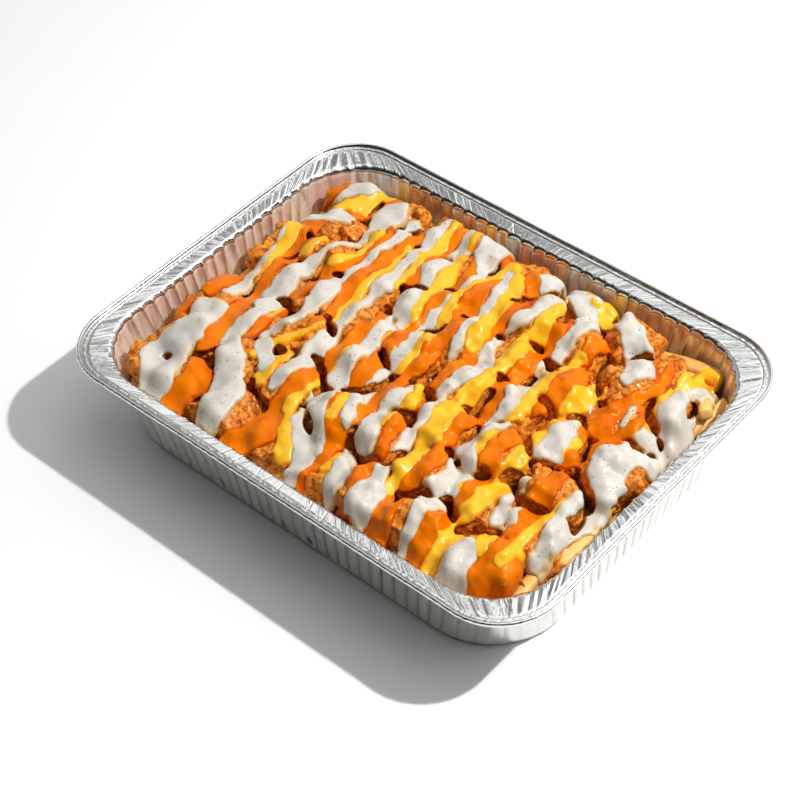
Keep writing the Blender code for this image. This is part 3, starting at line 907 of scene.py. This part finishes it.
LAID, CLEAR = 130, 5
draw = np.random.default_rng(12)
points, faces = [], []
for number in range(LAID):
    length = draw.uniform(48, 82)
    heading = draw.uniform(0, math.pi)
    x, y = draw.uniform(-140, 140), draw.uniform(-102, 102)
    level = draw.uniform(29.5, 33.5)
    rise = draw.uniform(-0.06, 0.06)
    reach = length / 2 * np.array([math.cos(heading), math.sin(heading)])
    while min(room_inside(x + reach[0], y + reach[1], 28),
              room_inside(x - reach[0], y - reach[1], 28)) < CLEAR:
        x, y = 0.97 * x, 0.97 * y
    lay_fry(x, y, level, heading, rise, length)
for place in [
        (138, 50, 38, 1.6, 0.25, 46), (137, 4, 40, 1.45, 0.1, 44), (138, -36, 41, 1.7, -0.1, 50),
        (139, -70, 42, 1.5, 0.15, 40), (128, 76, 42, -0.7, 0.45, 40), (60, -99, 42, 0.05, 0.1, 50),
        (-30, -99, 42, 3.1, 0.1, 54), (-95, -96, 40, 0.2, 0.1, 44), (96, -96, 44, 2.9, 0.12, 40),
        (118, 88, 35, -0.7, 0.1, 44), (104, 96, 36, 0.15, 0.12, 50), (134, 66, 36, 1.35, 0.1, 46)]:
    lay_fry(*place)
fries = new_object("fries_loose", (np.concatenate(points) * MM).tolist(), faces)
finish_piece(fries, potato, ["fries"])
core = merged_copy("fries", "fries_bed")
finish_piece(core, potato, ["fries"])
print("fries:", len(points), "sticks,", len(faces), "faces")

# %% [markdown]
# ## The surface that the sauces lie on
# A thick sauce bridges narrow gaps and sags into wide ones. The food is first measured from above
# with rays on a fine grid. Rolling a ball over that height map fills each gap that the ball can't
# enter, which is just how a sauce drapes. A small ball tells how deep a wide gap goes, and there
# the sauce has torn.

# %% Height map of the food
STEP = 0.7
xs, ys = np.arange(-149, 149, STEP), np.arange(-111, 111, STEP)
grid_x, grid_y = np.meshgrid(xs, ys)


def look_down(objects, lowest):
    """Height of what a ray from above meets, in millimetres."""
    tree = BVHTree.FromPolygons(*joined(objects))
    found = np.full(grid_x.shape, lowest)
    for row, y in enumerate(ys):
        for column, x in enumerate(xs):
            hit = tree.ray_cast(Vector((x * MM, y * MM, 0.1)), Vector((0, 0, -1)))[0]
            if hit is not None:
                found[row, column] = max(lowest, hit.z / MM)
    return found


def rolled(surface, radius, sign):
    """Spreads (sign 1) or shrinks (sign -1) a height map with a ball."""
    reach = int(radius / STEP)
    padded = np.pad(surface, reach, mode="edge")
    rows, columns = surface.shape
    best = np.full(surface.shape, -sign * 1e9)
    for i in range(-reach, reach + 1):
        for j in range(-reach, reach + 1):
            flat = (i * i + j * j) * STEP * STEP
            if flat > radius * radius:
                continue
            drop = math.sqrt(radius * radius - flat) - radius
            moved = padded[reach + i:reach + i + rows, reach + j:reach + j + columns] + sign * drop
            best = np.maximum(best, moved) if sign > 0 else np.minimum(best, moved)
    return best


def closed(surface, radius):
    """Fills what a ball of this radius can't enter."""
    return rolled(rolled(surface, radius, 1), radius, -1)


def blurred(field, size):
    """Gaussian blur; size is in millimetres."""
    reach = max(1, int(3 * size / STEP))
    weights = np.exp(-0.5 * (np.arange(-reach, reach + 1) * STEP / size) ** 2)
    weights /= weights.sum()
    for axis in (0, 1):
        pad = [(0, 0), (0, 0)]
        pad[axis] = (reach, reach)
        padded = np.pad(field, pad, mode="edge")
        count = field.shape[axis]
        field = sum(weight * np.take(padded, range(shift, shift + count), axis)
                    for shift, weight in enumerate(weights))
    return field


bare = look_down(bites + [fries, core], 26.0)
wall_room = room_inside(grid_x, grid_y, 46.0)
full_side = soft_step(-grid_y, 60, 90) * (1 - soft_step(grid_x, 100, 130))
bare = np.maximum(bare, np.where(wall_room < 1.5, 46 * full_side, 0))
HIGHEST_SAUCE = 65.2
bridged = closed(bare, 9.0)
sag = bridged - closed(bare, 3.5)
calm = 1 - soft_step(grid_x, -60, 20)
saggy = blurred(bridged - 0.45 * np.minimum(sag, 5.0), 0.7)
draped = np.minimum(saggy * (1 - calm) + blurred(bridged, 1.8) * calm, HIGHEST_SAUCE)
gap_depth = blurred(bridged, 0.7) - blurred(closed(bare, 2.0), 0.7)
slope_y, slope_x = np.gradient(draped, STEP)
print("food top between", round(bare.min(), 1), "and", round(bare.max(), 1), "mm")
print("gap depth", np.percentile(gap_depth[wall_room > 3], (50, 70, 80, 90, 95, 99)).round(1))

# %% [markdown]
# ## Sauce finishes
# Ranch, cheese and hot sauce are smooth, thick and glossy. Light enters a short way, so each has a
# little subsurface scattering, and a clear coat gives the small sharp highlights of a wet surface.
# A sauce thins out at its edge and takes on the colour of what lies below. Each sheet carries its
# thickness as an attribute, which mixes that edge colour in.

# %% Sauce finishes
def sauce_finish(name, dark, light, edge, roughness, coat, scatter, depth, sheen=(1, 1, 1)):
    """One sauce: two tones, the tint of its edge, its gloss, and how deep light and bumps go."""
    material, tree, shader = start_material(name)
    patches = use_group(tree, blotches, Size=45, Sharpness=0.3)
    thickness = add_node(tree, "ShaderNodeAttribute", attribute_name="thickness").outputs["Fac"]
    tones = ramp(tree, patches, [(0.0, dark), (1.0, light)])
    height = use_group(tree, grain, Size=160, Depth=1)
    fill(tree, shader, {
        "Base Color": mixed(tree, thickness, edge, tones),
        "Normal": bumped(tree, height, 0.35, depth),
        "Roughness": mapped(tree, patches, 0.0, 1.0, roughness, roughness * 1.35),
        "Coat Weight": coat, "Coat Roughness": 0.1, "Specular IOR Level": 0.35,
        "Specular Tint": (*sheen, 1), "Subsurface Weight": scatter,
        "Subsurface Radius": (1.0, 0.8, 0.6), "Subsurface Scale": 6 * MM})
    return material


ranch = sauce_finish("ranch", (0.57, 0.53, 0.465), (0.64, 0.6, 0.535), (0.64, 0.4, 0.15), 0.42, 0.1,
                     0.8, 0.4 * MM)
cheese = sauce_finish("cheese_sauce", (0.84, 0.4, 0.006), (0.9, 0.51, 0.02), (0.8, 0.27, 0.004),
                      0.28, 0.35, 0.1, 0.8 * MM, (1, 0.8, 0.4))
hot = sauce_finish("hot_sauce", (0.6, 0.095, 0.0), (0.86, 0.21, 0.0), (0.5, 0.06, 0.0), 0.28, 0.07,
                   0.05, 1.6 * MM, (1, 0.42, 0.05))
print("sauce finishes:", ranch.name, cheese.name, hot.name)

# %% [markdown]
# ## Sauces
# The three sauces were squeezed across the tray in passes, side by side, all leaning a little the
# same way. Each pass is a line through a few (y, x, half width) stations, given here in millimetres
# from far to near. How far a place lies inside a line gives the thickness, with a rounded edge. The
# same field is read a little uphill, which makes the sauce run down the slopes.

# %% Sauce passes
RANCH = [
    [(62, -117, 8), (45, -136, 2), (20, -129, 3), (0, -123, 4), (-12, -120, 6), (-28, -119, 3)],
    [(-42, -118, 9), (-60, -112, 9), (-78, -113, 14), (-90, -108, 13), (-106, -100, 9)],
    [(86, -94, 10), (72, -92, 9), (55, -88, 4), (30, -96, 3), (8, -100, 6), (-10, -98, 11),
    (-30, -91, 6), (-50, -91, 6), (-66, -76, 9), (-80, -66, 12), (-95, -60, 9), (-108, -57, 6)],
    [(84, -78, 6), (60, -74, 4), (38, -75, 3), (20, -76, 5), (0, -73, 7), (-20, -70, 5),
    (-40, -76, 5), (-52, -66, 7), (-60, -58, 4)], [(100, -62, 3), (72, -57, 5), (50, -57, 4),
    (34, -53, 6), (18, -53, 4), (0, -51, 5), (-22, -46, 6), (-42, -45, 6), (-62, -46, 6),
    (-68, -45, 3)], [(104, -46, 3), (88, -41, 5), (62, -42, 6), (40, -36, 5), (20, -29, 7),
    (0, -29, 6), (-22, -25, 6), (-42, -23, 8), (-60, -18, 9), (-78, -9, 13), (-92, -1, 9),
    (-106, 4, 5)], [(98, -27, 9), (86, -24, 8), (72, -16, 4), (45, -18, 2), (22, -15, 5),
    (0, -9, 5), (-20, -6, 6), (-42, -3, 6), (-64, 4, 4)], [(84, -6, 5), (60, 2, 4), (38, 6, 4),
    (16, 12, 4), (6, 14, 1)], [(-10, 11, 3), (-22, 13, 4), (-42, 15, 6), (-62, 19, 8), (-80, 24, 9),
    (-96, 25, 7), (-104, 28, 3)], [(92, 17, 8), (76, 32, 4), (58, 28, 5), (42, 22, 3), (28, 26, 4),
    (16, 33, 9), (2, 32, 6), (-14, 28, 5), (-28, 32, 4), (-46, 35, 5), (-62, 38, 5), (-80, 42, 5),
    (-98, 47, 8), (-106, 50, 5)], [(94, 36, 10), (80, 55, 7), (60, 56, 5), (44, 56, 5), (28, 60, 6),
    (8, 62, 6), (-12, 68, 9), (-32, 64, 7), (-50, 71, 9), (-70, 74, 8), (-88, 76, 5),
    (-104, 78, 3)], [(92, 72, 7), (80, 88, 9), (66, 97, 9), (56, 98, 5)], [(30, 92, 2), (14, 96, 4),
    (-2, 97, 7), (-14, 100, 8), (-24, 94, 3)], [(-36, 99, 4), (-48, 104, 5), (-60, 108, 8),
    (-72, 108, 4)], [(-90, 108, 7), (-100, 109, 8), (-107, 108, 7)], [(84, 130, 6), (68, 127, 8),
    (54, 131, 8), (36, 134, 7), (20, 132, 9), (6, 128, 11), (-14, 131, 10), (-34, 134, 9),
    (-52, 133, 6), (-70, 134, 4)], [(40, 113, 3), (26, 117, 3)], [(44, -52, 3), (30, -50, 3)],
    [(97, -118, 6), (86, -124, 6), (76, -128, 4)]]
CHEESE = [
    [(98, -106, 5), (88, -113, 6), (78, -118, 5)], [(106, 22, 6), (100, 40, 7), (92, 56, 6)],
    [(88, -106, 4), (80, -109, 4)], [(76, -121, 3), (68, -123, 2)], [(40, -130, 5), (28, -127, 5),
    (12, -123, 3), (-2, -120, 2)], [(42, -108, 3), (26, -109, 4)], [(62, -82, 2), (40, -83, 2),
    (26, -88, 2)], [(-12, -84, 2), (-30, -86, 1)], [(98, -56, 3), (82, -55, 5), (72, -54, 5),
    (52, -50, 4), (34, -47, 3)], [(66, -64, 2), (40, -62, 3), (12, -59, 4), (-10, -54, 3),
    (-26, -55, 2), (-42, -66, 3), (-56, -70, 3)], [(-46, -58, 4), (-58, -57, 4), (-68, -55, 4)],
    [(104, -41, 4), (86, -39, 3), (64, -33, 5), (44, -30, 4), (24, -26, 4), (4, -24, 2),
    (-30, -30, 2), (-52, -28, 2), (-70, -30, 3), (-84, -20, 4), (-94, -12, 5)], [(90, -8, 4),
    (78, -10, 3), (56, -17, 3), (34, -10, 4), (12, -5, 4), (-6, -2, 3), (-28, -2, 2), (-48, -7, 3),
    (-66, -3, 4)], [(82, 2, 5), (66, 9, 6), (48, 10, 5), (30, 14, 5), (20, 17, 3)], [(-18, 18, 3),
    (-34, 22, 4), (-56, 23, 3), (-68, 15, 2), (-92, 14, 3)], [(76, 35, 4), (56, 39, 6), (36, 39, 6),
    (20, 40, 5), (4, 42, 4), (-12, 40, 6), (-32, 43, 7), (-52, 47, 6), (-72, 51, 5), (-90, 50, 2)],
    [(54, 67, 4), (32, 65, 4), (14, 68, 6), (-4, 68, 4), (-28, 71, 4), (-44, 70, 4), (-62, 79, 2)],
    [(42, 89, 5), (26, 86, 6), (8, 88, 4), (-8, 89, 3), (-30, 91, 5), (-50, 94, 6), (-70, 92, 6),
    (-88, 94, 5), (-107, 95, 5)], [(96, 121, 6), (84, 121, 7), (66, 120, 2), (46, 124, 3),
    (28, 127, 2)], [(2, 104, 3), (-14, 104, 3)], [(-34, 125, 2), (-60, 124, 3), (-84, 125, 4)],
    [(-76, 110, 4), (-86, 112, 4)], [(108, 28, 6), (98, 34, 7), (90, 30, 4)], [(103, 40, 5),
    (98, 50, 7), (92, 57, 6), (88, 62, 4)]]
HOT = [
    [(94, -98, 6), (82, -108, 6), (72, -112, 4)], [(92, -132, 5), (78, -136, 5)], [(60, -126, 5),
    (46, -123, 6), (36, -119, 9), (14, -116, 4), (-4, -112, 3), (-22, -107, 5), (-40, -103, 6),
    (-58, -100, 6), (-72, -91, 6), (-86, -83, 7), (-104, -86, 8)], [(0, -131, 3), (-16, -132, 6),
    (-30, -127, 4)], [(-44, -136, 5), (-54, -133, 3)], [(66, -79, 2), (44, -79, 2), (28, -85, 6),
    (10, -84, 5), (-12, -87, 3), (-26, -86, 3), (-48, -84, 2)], [(84, -66, 5), (64, -67, 5),
    (44, -68, 5), (26, -67, 5), (8, -64, 4), (-12, -59, 4), (-30, -57, 2)], [(92, -50, 4),
    (78, -48, 4), (56, -47, 3), (44, -44, 4)], [(22, -41, 3), (6, -35, 3), (-14, -35, 5),
    (-34, -35, 5), (-58, -35, 5), (-78, -33, 8), (-92, -30, 9), (-107, -39, 9)], [(84, -25, 5),
    (66, -21, 5), (40, -20, 5), (14, -18, 4), (-6, -17, 5), (-24, -15, 5), (-44, -12, 4),
    (-62, -7, 4), (-76, 1, 3)], [(100, -13, 4), (80, -9, 4), (54, -6, 6), (34, -3, 6), (14, 1, 6),
    (-8, 3, 5), (-26, 4, 4), (-48, 6, 4), (-66, 6, 4), (-84, 8, 4), (-106, 3, 6)], [(90, 9, 8),
    (78, 19, 7), (58, 15, 4), (36, 20, 4), (16, 23, 5), (-2, 21, 3), (-26, 27, 5), (-54, 27, 3),
    (-70, 33, 3), (-88, 37, 6), (-100, 42, 4)], [(76, 43, 5), (52, 48, 5), (30, 49, 5), (8, 51, 6),
    (-10, 51, 7), (-34, 53, 5), (-56, 57, 6), (-78, 58, 6), (-100, 61, 8), (-108, 62, 7)],
    [(66, 70, 6), (48, 75, 5), (34, 77, 8), (12, 76, 5), (-6, 84, 5), (-32, 78, 5), (-48, 84, 4),
    (-70, 84, 5), (-86, 86, 6), (-107, 86, 5)], [(80, 107, 3), (60, 114, 4), (44, 109, 8),
    (28, 104, 9), (10, 110, 8), (-6, 111, 6), (-24, 114, 5), (-44, 114, 6), (-66, 120, 6),
    (-84, 124, 9), (-96, 124, 9)], [(50, 120, 4), (34, 123, 4), (14, 117, 4)], [(84, 84, 2),
    (66, 95, 1)], [(78, 99, 3), (66, 104, 2)]]
print("passes:", len(RANCH), "ranch,", len(CHEESE), "cheese,", len(HOT), "hot sauce")

# %% [markdown]
# ## Laying the sauces
# The passes give one field for each sauce: how far a place lies inside the nearest line. Where the
# field is above zero there is sauce, and its edge rises like a drop. The field is cut back where
# the food gapes and near the wall. Each sauce becomes one closed sheet that follows the draped
# surface.

# %% Sauces
NEAR_END, RUN_OUT = -98, -116
MOST_FACES = 90000


def inside_passes(passes, seed):
    """How far each place lies inside the nearest pass, in millimetres; negative outside."""
    best = np.full(grid_x.shape, -50.0)
    for number, stations in enumerate(passes):
        if stations[-1][0] < NEAR_END:
            stations = stations + [(RUN_OUT, *stations[-1][1:])]
        y, x, half = np.array(stations[::-1], float).T
        wander = smooth_noise(grid_y, 0 * grid_y + 37 * number, 15, seed)
        middle = np.interp(grid_y, y, x) + wander
        lean = 0.0
        if len(y) > 2:
            lean = np.interp(grid_y, (y[1:] + y[:-1]) / 2, np.diff(x) / np.diff(y))
        from_line = np.abs(grid_x - middle) / np.sqrt(1 + lean ** 2)
        past = np.maximum(np.maximum(y[0] - grid_y, grid_y - y[-1]), 0)
        uneven = 1 + 0.15 * smooth_noise(grid_y, 0 * grid_y + 53 * number, 9, seed + 2)
        width = np.interp(grid_y, y, half) * uneven
        best = np.maximum(best, width - np.hypot(from_line, past))
    return best + (1.3 * smooth_noise(grid_x, grid_y, 6.5, seed + 3)
                   + smooth_noise(grid_x, grid_y, 3, seed + 4))


def run_down(field, reach):
    """Reads the field uphill, so that what is poured spreads down the slopes."""
    rows, columns = (np.clip(index + np.rint(reach * np.clip(slope, -1.5, 1.5) / STEP).astype(int),
                             0, count - 1)
                     for index, slope, count in zip(np.indices(field.shape), (slope_y, slope_x),
                                                    field.shape))
    return blurred(np.maximum(field, field[rows, columns] - 0.4), 0.7)


def sauce_sheet(name, inside, thick, edge_round, lumps, material):
    """A closed sheet on the draped surface, with rounded edges, where the field is above zero."""
    share = np.clip(inside / edge_round, 0, 1)
    top = thick * np.sqrt(1 - (1 - share) ** 2) * (1 + lumps)
    top = np.where(inside > 0, top, np.maximum(inside, -UNDER))
    wanted = inside > -UNDER * 1.2
    normal = np.stack([-slope_x, -slope_y, np.ones_like(slope_x)], -1)
    normal /= np.linalg.norm(normal, axis=-1, keepdims=True)
    ground = np.stack([grid_x, grid_y, draped], -1)
    upper = ground + normal * top[..., None]
    lower = ground - normal * UNDER
    cells = wanted[:-1, :-1] & wanted[1:, :-1] & wanted[:-1, 1:] & wanted[1:, 1:]
    index = np.arange(inside.size).reshape(inside.shape)
    upper_faces = np.stack([index[:-1, :-1][cells], index[:-1, 1:][cells], index[1:, 1:][cells],
                            index[1:, :-1][cells]], -1)
    lower_faces = upper_faces[:, ::-1] + inside.size
    edges = np.concatenate([upper_faces[:, [k, (k + 1) % 4]] for k in range(4)])
    there = set(map(tuple, edges.tolist()))
    rim_edges = np.array([edge for edge in there if edge[::-1] not in there])
    sides = np.stack([rim_edges[:, 1], rim_edges[:, 0], rim_edges[:, 0] + inside.size,
                      rim_edges[:, 1] + inside.size], -1)
    every = np.concatenate([upper_faces, lower_faces, sides])
    used, packed = np.unique(every, return_inverse=True)
    thickness = np.tile(np.clip(inside / EDGE_TINT, 0, 1).ravel(), 2)[used]
    points = np.concatenate([upper.reshape(-1, 3), lower.reshape(-1, 3)])[used] * MM
    sheet = new_object(name, points.tolist(), packed.reshape(-1, 4).tolist())
    add_attribute(sheet, "thickness", thickness)
    thin = sheet.modifiers.new("thin", "DECIMATE")
    thin.ratio = min(1.0, MOST_FACES / len(every))
    graph = bpy.context.evaluated_depsgraph_get()
    sheet.data = bpy.data.meshes.new_from_object(sheet.evaluated_get(graph))
    sheet.modifiers.clear()
    sheet.data.polygons.foreach_set("use_smooth", [True] * len(sheet.data.polygons))
    finish_piece(sheet, material, BITES)
    print(name, len(sheet.data.polygons), "faces")
    return sheet


UNDER, EDGE_TINT = 0.9, 1.5
TEAR = 6.5
torn = TEAR + 4 * smooth_noise(grid_x, grid_y, 17, 91) - 5.5 * soft_step(grid_x, -80, 80)
torn -= gap_depth
torn += 3 + 6 * (1 - soft_step(wall_room, 6, 20))
torn += 12 * full_side * (1 - soft_step(wall_room, 8, 16))
kept = np.minimum(np.minimum(torn, wall_room - 0.8), draped - 35)
sheets = {}
for name, passes, seed, more, reach, slack, thick, edge_round, lump, material in (
        ("hot_sauce", HOT, 300, 0.4, 1.8, 0.6, 0.9, 1.5, 0.4, hot),
        ("cheese_sauce", CHEESE, 200, -0.1, 2.4, 0.3, 1.4, 1.6, 0.15, cheese),
        ("ranch_sauce", RANCH, 100, -0.8, 2.6, 0.0, 1.6, 1.8, 0.15, ranch)):
    field = run_down(inside_passes(passes, seed) + more, reach)
    field = np.minimum(field, kept + slack)
    lumps = lump * smooth_noise(grid_x, grid_y, 5, seed + 9)
    sheets[name] = sauce_sheet(name, blurred(field, 0.5), thick, edge_round, lumps, material)

# %% [markdown]
# ## Pepper
# The ranch is speckled with ground pepper. A geometry tree scatters points on the upward faces with
# a fixed seed and puts a tiny flattened grain of a few faces on each.

# %% Pepper
pepper_finish, tree, shader = start_material("ground_pepper")
small = use_group(tree, blotches, Size=900, Sharpness=0.3)
specks = ramp(tree, small, [(0.0, (0.03, 0.025, 0.02)), (1.0, (0.13, 0.09, 0.06))])
fill(tree, shader, {"Base Color": specks, "Roughness": 0.6})

pepper = scattered("pepper", [sheets["ranch_sauce"]], Finish=pepper_finish, Flatness=0.5, Seed=5,
                   Per_square_metre=24000.0, Smallest=0.17 * MM, Largest=0.4 * MM)
finish_piece(pepper, pepper_finish, BITES)
print("pepper:", len(pepper.data.polygons), "faces")

# %% [markdown]
# ## Crumbs
# Bits of crust break off the bites and lie in the tears between the sauces. The same tree puts
# them on the bites, larger and rounder, in the crust's own finish.

# %% Crumbs
crumb_finish = chicken.copy()
crumb_finish.name = "crumbs"
crumbs = scattered("crumbs", bites, Finish=crumb_finish, Flatness=0.8, Seed=8,
                   Per_square_metre=9000.0, Smallest=0.35 * MM, Largest=0.95 * MM)
finish_piece(crumbs, crumb_finish, BITES)
print("crumbs:", len(crumbs.data.polygons), "faces")

# %% [markdown]
# ## Floor and light
# The tray stands on a plain near-white sweep. A small near lamp behind it on the right throws the
# widening shadow to the left, and a broad lamp above fills it. The foil mirrors a sky that is
# bright behind the tray, uneven, and dark behind the camera, without which a metal would look like
# plastic.

# %% Floor and light
paper, tree, shader = start_material("paper")
tone = use_group(tree, blotches, Size=3, Sharpness=0.5)
white = ramp(tree, tone, [(0.0, (0.91, 0.91, 0.91)), (1.0, (0.94, 0.94, 0.94))])
fill(tree, shader, {"Base Color": white, "Roughness": 0.7})
FLOOR = 6
floor = new_object("floor", [(-FLOOR, -FLOOR, 0), (FLOOR, -FLOOR, 0), (FLOOR, FLOOR, 0),
                             (-FLOOR, FLOOR, 0)], [[0, 1, 2, 3]], False)
floor.data.materials.append(paper)
floor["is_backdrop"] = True


def towards(azimuth, elevation):
    """Unit vector towards a light; azimuth is from +X to +Y, both angles in degrees."""
    a, e = math.radians(azimuth), math.radians(elevation)
    return Vector((math.cos(a) * math.cos(e), math.sin(a) * math.cos(e), math.sin(e)))


def add_light(name, energy, direction, distance, size):
    """A square lamp that faces the tray; energy in watts, distance and size in metres."""
    data = bpy.data.lights.new(name, "AREA")
    data.energy = energy
    data.size = size
    light = bpy.data.objects.new(name, data)
    light.location = direction * distance
    light.rotation_euler = direction.to_track_quat("Z", "Y").to_euler()
    bpy.context.scene.collection.objects.link(light)
    light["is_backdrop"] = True
    return light


add_light("key", 27.5, towards(36.6, 54.7), 1.75, 0.05)
add_light("overhead", 11.5, towards(50, 64), 1.5, 2.2)

world = bpy.data.worlds.new("studio")
bpy.context.scene.world = world
world.use_nodes = True
tree = world.node_tree
where = add_node(tree, "ShaderNodeTexCoord").outputs["Object"]
facing = vector_calc(tree, "DOT_PRODUCT", where, towards(118, 38))
uneven = calc(tree, "MULTIPLY_ADD", noise_at(tree, where, 6.0, 2.0), 0.6, facing)
SKY = [(0.0, 0.02), (0.3, 0.03), (0.45, 0.14), (0.58, 0.38), (0.7, 0.55), (0.79, 0.4), (0.85, 0.1),
       (0.89, 0.3), (0.93, 1.2)]
sky = ramp(tree, calc(tree, "MULTIPLY", uneven, 0.72), [(at, (value,) * 3) for at, value in SKY])
fill(tree, tree.nodes["Background"], {"Color": sky, "Strength": 1.0})
bpy.context.scene.view_settings.view_transform = "Standard"

boxes = {"cad": [list(corner) for corner in cad_box],
         "scene": [list(corner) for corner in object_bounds()]}
for name, (low, high) in boxes.items():
    print(name, [round((b - a) / MM, 1) for a, b in zip(low, high)], "mm")
